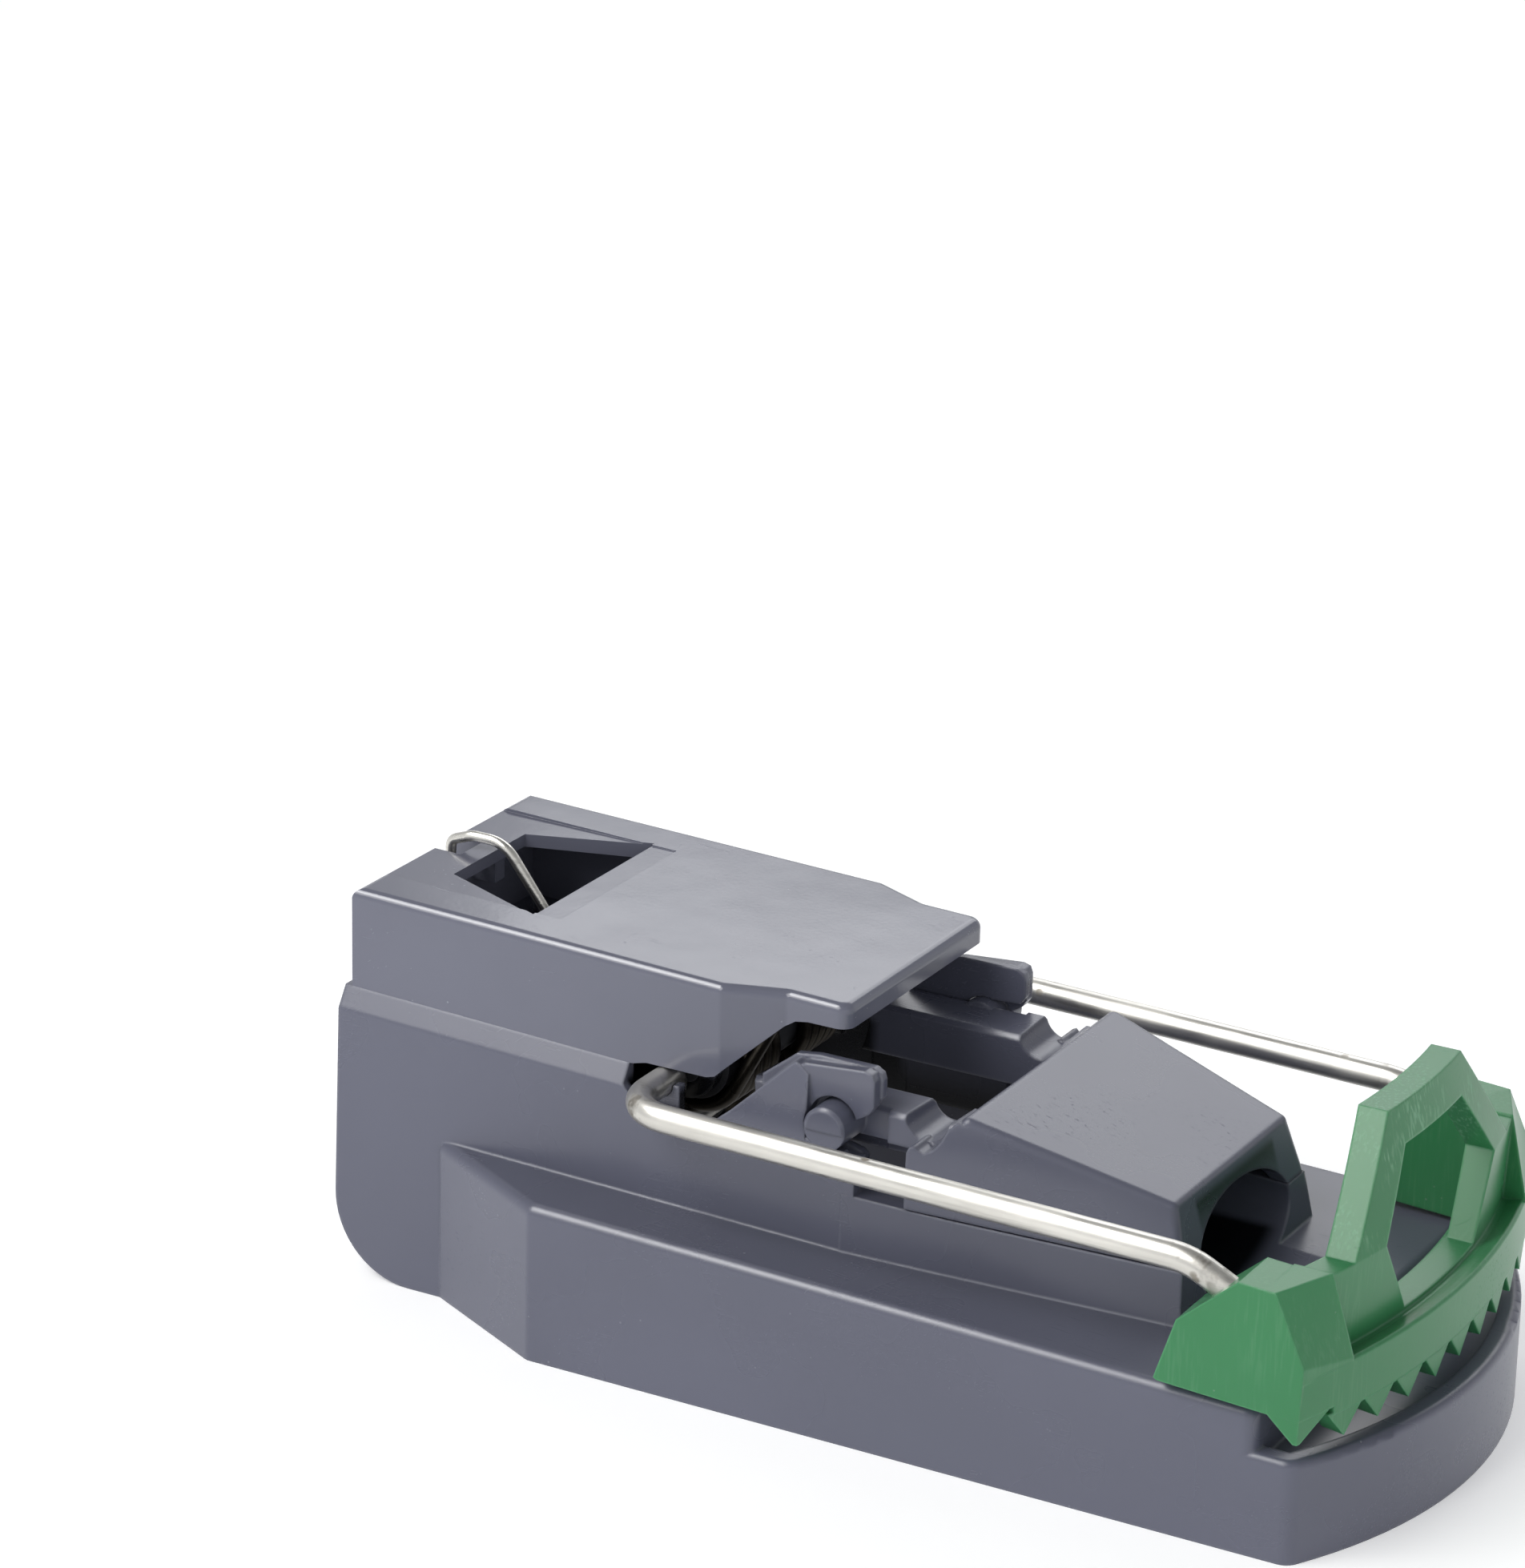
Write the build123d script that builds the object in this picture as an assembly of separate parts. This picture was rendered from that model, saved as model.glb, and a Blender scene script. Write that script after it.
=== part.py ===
"""Snap mouse trap, sprung (closed) pose.

Millimetres. +Z is up, -Y is the front (the jaw end), X is the width.
The origin is the middle of the footprint, at the height of the table.
"""
from build123d import *
import math
import os

# ---------------------------------------------------------------- overall
REAR_Y = 52.6
FRONT_Y = -52.6
MIRROR_X = Plane.YZ

# ---------------------------------------------------------------- body walls
BODY_HALF_FOOT = 17.1
BODY_HALF_SHOULDER = 16.2
BODY_HALF_CAP = 15.0
BODY_INNER_HALF = 15.1
BODY_FRONT_Y = -0.4
SHOULDER_Z_REAR = 25.5
CAP_Z_REAR = 27.4
SHOULDER_FALL = 0.034
HEEL_RADIUS = 8.0
REAR_WALL = 1.8

# ---------------------------------------------------------------- skirt and deck
SKIRT_HALF = 24.0
SKIRT_REAR_Y = 41.2
SKIRT_SHOULDER_Y = 27.7
SKIRT_WALL = 2.0
DECK_Z_MID = 14.28
DECK_RISE = 0.022
DECK_FRONT_Y = -42.4
DECK_THICK = 2.2
DECK_EDGE_RADIUS = 1.0
DECK_NOSE_RADIUS = 2.0
SKIRT_CORNER_RADIUS = 1.2

# ---------------------------------------------------------------- front apron
APRON_RADIUS = 46.3
APRON_CENTRE_Y = FRONT_Y + APRON_RADIUS
APRON_Z = 9.4
APRON_FLOOR_Z = 8.3
APRON_BORDER = 1.9
APRON_CORNER_RADIUS = 1.6
APRON_EDGE_RADIUS = 0.7

# ---------------------------------------------------------------- pedestal and tunnel
PEDESTAL_TOP_Z = 18.2
PEDESTAL_TOP_RISE = 0.047
PEDESTAL_FLOOR_Z = 10.6
PEDESTAL_FRONT_Y = -30.0
PEDESTAL_BEND_Y = -9.0
PEDESTAL_REAR_Y = 0.7
NOSE_SEAM = 0.15
TUNNEL_HALF_WIDTH = 9.3
TUNNEL_HALF_HEIGHT = 4.75
TUNNEL_Z = 17.05
TUNNEL_BACK_Y = -9.5
TUNNEL_BACK_WALL = 1.5

# ---------------------------------------------------------------- bait cup
CUP_Y = -17.5
CUP_RADIUS = 6.0
CUP_BORE_RADIUS = 4.8
CUP_TOP_Z = 11.8
CUP_FLANGE_RADIUS = 9.5
CUP_FLANGE_Z = 0.6
CUP_FLANGE_TOP_Z = 2.5
CUP_CLEARANCE = 0.05
CUP_RIM_CLEARANCE = 0.1
CUP_GRIP_RADIUS = 7.2
CUP_GRIP_HALF = 1.3
RING_WALL = 1.6

# ---------------------------------------------------------------- striker
PIVOT_Y = 19.5
PIVOT_Z = 25.4
WIRE_RADIUS = 1.25
ARM_X = 22.0
ARM_BEND_RADIUS = 4.3
ARM_KNEE_Y = -34.8
ARM_KNEE_Z = 24.4
ARM_TIP_Y = -42.0
ARM_TIP_Z = 20.9
ARM_KNEE_RADIUS = 7.0
CRANK_X = 12.6
CRANK_OFFSET_Y = 1.74
CRANK_DROP = 6.5
CRANK_BEND_RADIUS = 1.7
CRANK_SWEEP_RADIUS = 8.2
BEARING_CLEARANCE = 0.06

# ---------------------------------------------------------------- treadle
TRUNNION_Y = 2.4
TRUNNION_Z = 25.4
TRUNNION_RADIUS = 2.0
TRUNNION_END_X = 17.0
ARM_INNER_X = 8.0
ARM_STEP_X = 10.5
ARM_OUTER_X = 12.9
ARM_FLARE_X = 13.5
NOSE_WALL = 1.6
SEAR_RADIUS = 8.15

# ---------------------------------------------------------------- hooks that carry the treadle
HOOK_INNER_X = 13.1
HOOK_STEP_X = 13.9
HOOK_HEAD_X = 15.0
HOOK_TOP_Z = 31.0

# ---------------------------------------------------------------- cover
COVER_HALF = 15.0
COVER_NECK_HALF = 12.8
COVER_REAR_Y = 51.9
COVER_FRONT_Y = 2.4
COVER_TOP_REAR_Z = 36.7
COVER_TOP_FRONT_Z = 35.3
COVER_WALL = 1.5
COVER_SEAT = 0.8
COVER_EDGE_RADIUS = 0.9
COVER_TAB_Z = 26.75

# ---------------------------------------------------------------- spring
COIL_RADIUS = 4.4
SPRING_WIRE_RADIUS = 0.65
COIL_PITCH = 1.5
COIL_TURNS = 4
COIL_START_X = 2.85
LOOP_LEAN_DEG = 37.3
LOOP_REACH = 10.5
LEG_LEAN_DEG = 28.0
SPRING_LEG = 10.3
SPINDLE_RADIUS = 3.55
SPINDLE_PIN_RADIUS = 1.5
RIB_INNER_X = 9.6
RIB_OUTER_X = 11.0

# ---------------------------------------------------------------- lock wire
LOCK_RADIUS = 0.5
LOCK_HINGE_Y = 49.3
LOCK_HINGE_Z = 34.2
LOCK_PIN_X = 4.8

# ---------------------------------------------------------------- jaw
JAW_HALF = 24.9
JAW_BLOCK_INNER_X = 19.2
JAW_CENTRE_Y = 29.4
JAW_OUTER_RADIUS = 80.0
JAW_INNER_RADIUS = 75.0
JAW_ROOT_Z = 13.0
JAW_WALL_Z = 17.5
JAW_LEDGE_Z = 17.2
JAW_HEEL_Y = -43.5
JAW_HEEL_Z = 13.8
TOOTH_TIP_Z = 10.6
TOOTH_STEP_DEG = 3.44
TOOTH_COUNT_EACH_SIDE = 4
TOOTH_DEPTH = 2.4
CORNER_TOOTH_INNER_X = 20.6
LOOP_TOP_Z = 34.9
LOOP_FOOT_Z = 24.7
LOOP_BASE_Z = 16.8
LOOP_BASE_RADIUS = 77.9
LOOP_FOOT_RADIUS = 78.2
LOOP_TOP_RADIUS = 75.5
LOOP_THICK = 2.7


# ================================================================ helpers
def side_prism(points, x0, x1):
    """Prism with the (y, z) outline `points`, from x0 to x1."""
    plane = Plane(origin=(x0, 0, 0), x_dir=(0, 1, 0), z_dir=(1, 0, 0))
    outline = plane * make_face(Polyline(*points, close=True))
    return extrude(outline, amount=x1 - x0, dir=(1, 0, 0))


def plan_prism(points, z0, z1):
    """Prism with the (x, y) outline `points`, from z0 to z1."""
    outline = Pos(0, 0, z0) * make_face(Polyline(*points, close=True))
    return extrude(outline, amount=z1 - z0, dir=(0, 0, 1))


def front_prism(points, y0, y1):
    """Prism with the (x, z) outline `points`, from y0 to y1."""
    plane = Plane(origin=(0, y0, 0), x_dir=(1, 0, 0), z_dir=(0, -1, 0))
    outline = plane * make_face(Polyline(*points, close=True))
    return extrude(outline, amount=y1 - y0, dir=(0, 1, 0))


def block(x0, x1, y0, y1, z0, z1):
    """Box between two corners."""
    middle = Pos((x0 + x1) / 2, (y0 + y1) / 2, (z0 + z1) / 2)
    return middle * Box(x1 - x0, y1 - y0, z1 - z0)


def rod_x(y, z, radius, x0, x1):
    """Cylinder along X."""
    return Pos((x0 + x1) / 2, y, z) * Rot(0, 90, 0) * Cylinder(radius, x1 - x0)


def rod_y(x, z, radius, y0, y1):
    """Cylinder along Y."""
    return Pos(x, (y0 + y1) / 2, z) * Rot(90, 0, 0) * Cylinder(radius, y1 - y0)


def rod_z(x, y, radius, z0, z1):
    """Cylinder along Z."""
    return Pos(x, y, (z0 + z1) / 2) * Cylinder(radius, z1 - z0)


def both_sides(solid):
    """The solid and its mirror image across the middle of the trap."""
    return solid + mirror(solid, about=MIRROR_X)


def quad_loft(low, high):
    """Solid between two four-cornered faces given as (x, y, z) corners."""
    faces = [make_face(Polyline(*corners, close=True)) for corners in (low, high)]
    return loft(faces, ruled=True)


def symmetric_quad(rear_half, rear_y, rear_z, front_half, front_y, front_z):
    """Corners of a trapezoid that is symmetric about X = 0."""
    return [
        (-rear_half, rear_y, rear_z),
        (rear_half, rear_y, rear_z),
        (front_half, front_y, front_z),
        (-front_half, front_y, front_z),
    ]


def wire_along(points, radii, radius):
    """Round wire along straight runs joined by tangent arcs."""
    path = FilletPolyline(*points, radius=radii)
    start = Plane(origin=path @ 0, z_dir=path % 0)
    return sweep(start * Circle(radius), path=path)


def deck_z(y):
    """Height of the sloping deck at y."""
    return DECK_Z_MID + DECK_RISE * y


# ================================================================ base
def wall_section(y):
    """Cross-section of the body block: drafted walls and a chamfered shoulder."""
    fall = SHOULDER_FALL * (REAR_Y - y)
    shoulder = SHOULDER_Z_REAR - fall
    cap = CAP_Z_REAR - fall
    right = [(BODY_HALF_FOOT, 0), (BODY_HALF_SHOULDER, shoulder), (BODY_HALF_CAP, cap)]
    left = [(-x, z) for x, z in reversed(right)]
    plane = Plane(origin=(0, y, 0), x_dir=(1, 0, 0), z_dir=(0, -1, 0))
    return plane * make_face(Polyline(*(right + left), close=True))


def body_block():
    """Rear body, with its rounded heel, cut to the stepped line of its walls."""
    body = loft([wall_section(REAR_Y), wall_section(BODY_FRONT_Y)], ruled=True)
    heel = body.edges().filter_by(Axis.X).group_by(Axis.Y)[-1].sort_by(Axis.Z)[0]
    body = fillet(heel, HEEL_RADIUS)
    long_edges = body.edges().filter_by(
        lambda e: e.length > 50 and e.center().Z > 20 and abs(e.center().X) > BODY_HALF_CAP + 0.5)
    body = fillet(long_edges, 0.5)
    notch_floor = 23.2
    step_z = 22.7
    above_walls = side_prism([
        (22.9, 40), (22.9, 24.75), (21.4, notch_floor), (13.9, notch_floor),
        (12.0, 24.0), (4.6, 24.0), (2.4, 23.3), (0.9, 23.3), (0.4, step_z),
        (BODY_FRONT_Y - 1, step_z), (BODY_FRONT_Y - 1, 40),
    ], -20, 20)
    return body - above_walls


def skirt():
    """Low stepped skirt and sloping deck around the body, with soft edges."""
    half = SKIRT_HALF
    outline = [
        (-BODY_HALF_FOOT, SKIRT_REAR_Y), (BODY_HALF_FOOT, SKIRT_REAR_Y),
        (half, SKIRT_SHOULDER_Y), (half, DECK_FRONT_Y),
        (-half, DECK_FRONT_Y), (-half, SKIRT_SHOULDER_Y),
    ]
    solid = plan_prism(outline, 0, 20)
    corners = solid.edges().filter_by(Axis.Z).filter_by(
        lambda e: abs(e.center().X) > half - 1)
    solid = fillet(corners, SKIRT_CORNER_RADIUS)
    rear, front = SKIRT_REAR_Y + 1, DECK_FRONT_Y - 1
    solid -= side_prism([(rear, deck_z(rear)), (rear, 25), (front, 25), (front, deck_z(front))],
                        -30, 30)
    top = solid.faces().sort_by(Axis.Z)[-1]
    around = top.edges().filter_by(lambda e: e.center().Y < SKIRT_REAR_Y - 1)
    return fillet(around, DECK_EDGE_RADIUS)


def apron():
    """Round front apron: a raised border around a half-moon floor."""
    disc = rod_z(0, APRON_CENTRE_Y, APRON_RADIUS, 0, APRON_Z)
    front = disc & block(-SKIRT_HALF, SKIRT_HALF, FRONT_Y - 1, DECK_FRONT_Y + 1.3, 0, APRON_Z)
    corners = front.edges().filter_by(Axis.Z).filter_by(lambda e: e.center().Y < DECK_FRONT_Y)
    front = fillet(corners, APRON_CORNER_RADIUS)
    top = front.faces().sort_by(Axis.Z)[-1]
    rim = top.edges().filter_by(lambda e: e.center().Y < DECK_FRONT_Y + 1)
    front = fillet(rim, APRON_EDGE_RADIUS)
    inner = rod_z(0, APRON_CENTRE_Y, APRON_RADIUS - APRON_BORDER, APRON_FLOOR_Z, 20)
    reach = SKIRT_HALF - APRON_BORDER
    return front - (inner & block(-reach, reach, FRONT_Y, DECK_FRONT_Y, APRON_FLOOR_Z, 20))


def pedestal_z(y):
    """Height of the pedestal's top at y."""
    return PEDESTAL_TOP_Z + PEDESTAL_TOP_RISE * (y - PEDESTAL_FRONT_Y)


def pedestal():
    """Block that the treadle closes on: it flares into the body's walls at its rear."""
    floor = PEDESTAL_FLOOR_Z
    front_y, bend_y, rear_y = PEDESTAL_FRONT_Y, PEDESTAL_BEND_Y, PEDESTAL_REAR_Y
    bend_z = pedestal_z(bend_y)
    front = quad_loft(
        symmetric_quad(15.95, bend_y, floor, 14.3, front_y - 0.9, floor),
        symmetric_quad(15.6, bend_y, bend_z, 12.5, front_y, PEDESTAL_TOP_Z))
    rear = quad_loft(
        symmetric_quad(16.8, rear_y, floor, 15.95, bend_y, floor),
        symmetric_quad(16.45, rear_y, pedestal_z(rear_y), 15.6, bend_y, bend_z))
    return front + rear


def tunnel(front_y, back_y):
    """Elliptical tunnel, wider than high."""
    plane = Plane(origin=(0, front_y, TUNNEL_Z), x_dir=(1, 0, 0), z_dir=(0, -1, 0))
    mouth = plane * Ellipse(TUNNEL_HALF_WIDTH, TUNNEL_HALF_HEIGHT)
    return extrude(mouth, amount=back_y - front_y, dir=(0, 1, 0))


def body_cavity():
    """Open space inside the body, open below and above, with a rounded heel."""
    inner_y = REAR_Y - REAR_WALL
    floor_z = REAR_WALL
    radius = HEEL_RADIUS - REAR_WALL
    lip_y = inner_y - radius - 1.0
    outline = [(-8.0, -1), (lip_y, -1), (lip_y, floor_z),
               (inner_y, floor_z), (inner_y, 40), (-8.0, 40)]
    cavity = side_prism(outline, -BODY_INNER_HALF, BODY_INNER_HALF)
    heel = cavity.edges().filter_by(Axis.X).filter_by(
        lambda e: e.center().Y > inner_y - 1 and e.center().Z < floor_z + 1)
    ledge = side_prism([(22.9, 24.4), (22.9, 40), (REAR_Y, 40), (REAR_Y, 25.4)],
                       COVER_HALF - COVER_SEAT, BODY_INNER_HALF + 0.1)
    return fillet(heel, radius) - both_sides(ledge)


def skirt_cavity():
    """Open underside of the skirt and deck."""
    reach = SKIRT_HALF - SKIRT_WALL
    outline = [
        (-BODY_INNER_HALF, SKIRT_REAR_Y - 2.6), (BODY_INNER_HALF, SKIRT_REAR_Y - 2.6),
        (reach, SKIRT_SHOULDER_Y - 0.7), (reach, DECK_FRONT_Y + SKIRT_WALL),
        (-reach, DECK_FRONT_Y + SKIRT_WALL), (-reach, SKIRT_SHOULDER_Y - 0.7),
    ]
    return plan_prism(outline, -1, deck_z(DECK_FRONT_Y) - DECK_THICK)


def apron_cavity():
    """Open underside of the apron."""
    disc = rod_z(0, APRON_CENTRE_Y, APRON_RADIUS - SKIRT_WALL, -1, APRON_FLOOR_Z - SKIRT_WALL)
    reach = SKIRT_HALF - SKIRT_WALL
    return disc & block(-reach, reach, FRONT_Y, DECK_FRONT_Y + SKIRT_WALL + 1,
                        -1, APRON_FLOOR_Z - SKIRT_WALL)


def treadle_hook():
    """One side's hook that the treadle's trunnion snaps into from the front."""
    foot_z = 16.0
    head = side_prism([
        (6.6, foot_z), (6.6, 29.6), (5.4, 30.3), (-0.5, 30.8), (-1.2, 30.6), (-1.45, 30.0),
        (-1.45, 27.6), (-1.0, 26.9), (0.3, 26.1), (2.4, 26.9), (2.4, 23.2), (0.3, 22.7),
        (-0.4, 22.7), (-0.4, foot_z),
    ], HOOK_STEP_X, HOOK_HEAD_X)
    liner = side_prism([
        (10.1, foot_z), (10.1, 27.9), (6.8, 30.5), (4.6, 30.8), (-0.8, 30.8), (-1.5, 30.4),
        (-1.7, 29.8), (-1.7, 28.2), (-1.2, 27.5), (2.4, 27.3), (2.4, 23.4), (0.3, 22.9),
        (-0.2, 22.5), (-0.2, foot_z),
    ], HOOK_INNER_X, HOOK_STEP_X)
    buttress = side_prism([
        (4.55, foot_z), (4.55, 24.0), (4.9, 29.4), (6.2, 30.3), (7.0, 29.6), (12.0, 24.8),
        (13.9, 23.2), (13.9, foot_z),
    ], HOOK_INNER_X + 0.4, BODY_HALF_SHOULDER + 0.5)
    wall_line = front_prism([
        (10, 10), (BODY_HALF_SHOULDER + 0.35, 10), (BODY_HALF_SHOULDER + 0.05, 24.0),
        (HOOK_HEAD_X, 30.5), (10, 30.5),
    ], -5, 20)
    hook = head + liner + (buttress & wall_line)
    seat = rod_x(TRUNNION_Y, TRUNNION_Z, TRUNNION_RADIUS + BEARING_CLEARANCE, 10, 20)
    open_seat = rod_x(TRUNNION_Y + 0.1, TRUNNION_Z + 0.1, TRUNNION_RADIUS + 0.35, HOOK_STEP_X, 20)
    return hook - seat - open_seat


def spindle_rib():
    """Inside web that carries one end of the spring's spindle."""
    back = REAR_Y - REAR_WALL + 0.2
    web = side_prism([
        (back, 9.0), (back, 26.0), (26.0, 26.0), (PIVOT_Y, PIVOT_Z + 2.4),
        (PIVOT_Y - 2.0, PIVOT_Z), (PIVOT_Y, PIVOT_Z - 2.4), (23.2, 21.0), (24.0, 9.0),
    ], RIB_INNER_X, RIB_OUTER_X)
    eye = rod_x(PIVOT_Y, PIVOT_Z, 3.0, RIB_INNER_X, RIB_OUTER_X)
    pin = rod_x(PIVOT_Y, PIVOT_Z, SPINDLE_PIN_RADIUS + BEARING_CLEARANCE, 0, 20)
    return web + eye - pin


def axle_cradle():
    """Half-round saddle inside the wall notch, under the striker's axle."""
    lug = block(14.3, BODY_INNER_HALF + 0.3, PIVOT_Y - 1.9, PIVOT_Y + 1.9, 20.0, PIVOT_Z)
    return lug - rod_x(PIVOT_Y, PIVOT_Z, WIRE_RADIUS + BEARING_CLEARANCE, 10, 20)


def bait_well():
    """Tube and ring under the tunnel floor that hold the bait cup."""
    tube = rod_z(0, CUP_Y, CUP_RADIUS + RING_WALL, CUP_FLANGE_TOP_Z + 0.1, PEDESTAL_FLOOR_Z + 1)
    inner_ring = CUP_FLANGE_RADIUS + CUP_RIM_CLEARANCE
    web_z = CUP_FLANGE_TOP_Z + CUP_CLEARANCE
    ring = rod_z(0, CUP_Y, inner_ring + RING_WALL, 0, web_z + RING_WALL)
    ring -= rod_z(0, CUP_Y, inner_ring, -1, web_z)
    return tube + ring


def make_base():
    """Moulded base: body, skirt, apron, pedestal, hooks and inside webs."""
    shell = body_block() + skirt() + apron()
    shell = shell - body_cavity() - skirt_cavity() - apron_cavity()
    shell += pedestal() + bait_well()
    shell -= tunnel(FRONT_Y, TUNNEL_BACK_Y)
    gap_front = TUNNEL_BACK_Y + TUNNEL_BACK_WALL
    shell -= quad_loft(symmetric_quad(14.2, 2.0, 5.0, 13.4, gap_front, 5.0),
                       symmetric_quad(14.2, 2.0, 22.0, 13.4, gap_front, 22.0))
    shell -= rod_z(0, CUP_Y, CUP_RADIUS + CUP_CLEARANCE, -1, 20)
    shell += both_sides(treadle_hook() - rod_x(PIVOT_Y, PIVOT_Z, CRANK_SWEEP_RADIUS, 0, 14.2))
    shell += both_sides(spindle_rib()) + both_sides(axle_cradle())
    return shell


# ================================================================ cover
def cover_plan(inset, z0, z1):
    """Prism with the cover's outline seen from above, drawn in by `inset`."""
    half, neck = COVER_HALF - inset, COVER_NECK_HALF - inset
    right = [(half, COVER_REAR_Y), (half, 13.9), (neck, 8.5), (neck, COVER_FRONT_Y)]
    left = [(-x, y) for x, y in reversed(right)]
    return plan_prism(right + left, z0, z1)


def make_cover():
    """Glossy top cover with a window, a front lip and two side tabs."""
    def base_line(y):
        return CAP_Z_REAR - SHOULDER_FALL * (REAR_Y - y)

    outline = side_prism([
        (COVER_REAR_Y, base_line(COVER_REAR_Y)), (COVER_REAR_Y, COVER_TOP_REAR_Z),
        (COVER_FRONT_Y, COVER_TOP_FRONT_Z), (COVER_FRONT_Y, 33.1), (6.4, 33.1), (7.6, 32.9),
        (8.7, 32.2), (13.6, 27.7), (14.3, 27.0), (15.2, COVER_TAB_Z), (21.2, COVER_TAB_Z),
        (22.6, base_line(22.9)), (22.9, base_line(22.9)),
    ], -COVER_HALF, COVER_HALF)
    plan = cover_plan(0, 20, 40)
    corners = plan.edges().filter_by(Axis.Z).group_by(Axis.Y)
    plan = fillet(corners[0], 1.3)
    corners = plan.edges().filter_by(Axis.Z).filter_by(lambda e: 5 < e.center().Y < 20)
    plan = fillet(corners, 0.8)
    shell = outline & plan
    rim = shell.faces().filter_by(lambda f: f.normal_at().Z > 0.9).sort_by(Axis.Z)[-1].edges()
    shell = fillet(rim, COVER_EDGE_RADIUS)
    shell -= cover_plan(COVER_WALL, 20, 40) & side_prism([
        (COVER_REAR_Y - COVER_WALL, 20), (COVER_REAR_Y - COVER_WALL, COVER_TOP_REAR_Z - COVER_WALL),
        (12.0, 33.8), (9.0, 33.1), (0, 33.1), (0, 20),
    ], -COVER_HALF, COVER_HALF)
    window = [(-6.1, 46.8), (6.1, 46.8), (10.6, 35.6), (-10.6, 35.6)]
    shell -= plan_prism(window, 30, 40)
    shell -= side_prism([(53, 36.4), (53, 38), (33, 38), (33, 36.05)], -10.2, 10.2)
    shell -= block(-1.6, 2.2, 48.9, 53, 33.4, 38)
    lug = block(2.6, 4.2, 47.8, 50.6, 32.4, 35.4)
    lug -= rod_x(LOCK_HINGE_Y, LOCK_HINGE_Z, LOCK_RADIUS + BEARING_CLEARANCE, 0, 6)
    return shell + lug


# ================================================================ treadle
def nose_hull(inset, rear_shift, drop, top_drop):
    """Wedge with the treadle's outside planes, drawn in, or with its rear face moved back."""
    front_y = PEDESTAL_FRONT_Y
    low_z = PEDESTAL_TOP_Z + NOSE_SEAM - drop
    rear_y = -8.9 - inset + rear_shift
    low_rear_z = pedestal_z(rear_y) + NOSE_SEAM - drop
    top_rear_y = -9.5 - inset + rear_shift
    return quad_loft(
        symmetric_quad(15.55 + 0.147 * rear_shift - inset, rear_y, low_rear_z,
                       12.45 - inset, front_y + inset, low_z),
        symmetric_quad(14.7 + 0.179 * rear_shift - inset, top_rear_y,
                       28.6 + 0.263 * rear_shift - top_drop,
                       11.3 - inset, front_y + 1.5 + inset, 23.6 - top_drop))


def nose_shell():
    """Hollow wedge over the tunnel, open below."""
    outside = nose_hull(0, 0, 0, 0)
    edges = outside.edges().filter_by(lambda e: e.center().Z > 20)
    outside = fillet(edges, 0.7)
    inside = nose_hull(NOSE_WALL, 0, 0.1, NOSE_WALL)
    return outside - inside - tunnel(-32, -26)


def nose_cheek():
    """Side plate of the nose that reaches back beside the arm."""
    plate = side_prism([
        (-11.5, 18.0), (-11.5, 27.3), (-9.4, 28.0), (-8.6, 27.2), (-8.1, 26.1), (-7.4, 25.2),
        (-6.6, 24.75), (-6.1, 24.95), (-5.7, 25.3), (-5.3, 25.1), (-5.1, 24.6), (-5.2, 18.0),
    ], ARM_OUTER_X - 0.3, 18)
    return plate & nose_hull(0, 5, 0, 0)


def treadle_arm():
    """One side arm: a deep inner web and an outer flange, ending in the arc of the sear."""
    def section(y, outer_x):
        plane = Plane(origin=(0, y, 0), x_dir=(1, 0, 0), z_dir=(0, -1, 0))
        corners = [(ARM_INNER_X, 22.0), (ARM_STEP_X, 22.0), (ARM_STEP_X, 24.0), (outer_x, 24.0),
                   (outer_x, 26.5), (outer_x - 0.4, 26.9), (ARM_INNER_X + 0.4, 26.7),
                   (ARM_INNER_X, 26.3)]
        return plane * make_face(Polyline(*corners, close=True))

    arm = extrude(section(-9.6, ARM_OUTER_X), amount=24.0, dir=(0, 1, 0))
    arm += extrude(section(-9.6, ARM_FLARE_X), amount=7.5, dir=(0, 1, 0))
    arm -= rod_x(PIVOT_Y, PIVOT_Z, SEAR_RADIUS, 5, 15)
    return arm


def make_treadle():
    """Treadle: hollow nose, two arms with trunnions and a grooved cross strip."""
    strip = block(-ARM_OUTER_X, ARM_OUTER_X, -9.6, -7.0, 21.0, 25.6)
    treadle = nose_shell() + both_sides(treadle_arm()) + strip
    treadle -= rod_x(-5.8, 27.1, 2.1, -ARM_FLARE_X - 1, ARM_FLARE_X + 1)
    treadle += both_sides(nose_cheek())
    lip = side_prism([(-9.6, 26.6), (-9.2, 27.7), (-9.7, 28.0), (-10.2, 26.6)], -13.6, 13.6)
    trunnion = rod_x(TRUNNION_Y, TRUNNION_Z, TRUNNION_RADIUS, ARM_OUTER_X - 1, TRUNNION_END_X)
    rim = trunnion.edges().filter_by(GeomType.CIRCLE).sort_by(Axis.X)[-1]
    trunnion = chamfer(rim, 0.25)
    trunnion -= block(TRUNNION_END_X - 0.2, TRUNNION_END_X + 1, 0, 5, TRUNNION_Z - 3, TRUNNION_Z - 0.2)
    return treadle + lip + both_sides(trunnion)


# ================================================================ striker
def make_striker_wire():
    """One bent wire: two arms, two axle ends and the crank across the middle."""
    crank_y = PIVOT_Y + CRANK_OFFSET_Y
    crank_z = PIVOT_Z - CRANK_DROP
    right = [
        (ARM_X, ARM_TIP_Y, ARM_TIP_Z), (ARM_X, ARM_KNEE_Y, ARM_KNEE_Z),
        (ARM_X, PIVOT_Y, PIVOT_Z), (CRANK_X, PIVOT_Y, PIVOT_Z), (CRANK_X, crank_y, crank_z),
    ]
    left = [(-x, y, z) for x, y, z in reversed(right)]
    half = [ARM_KNEE_RADIUS, ARM_BEND_RADIUS, CRANK_BEND_RADIUS, CRANK_BEND_RADIUS]
    return wire_along(right + left, half + half[::-1], WIRE_RADIUS)


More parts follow.
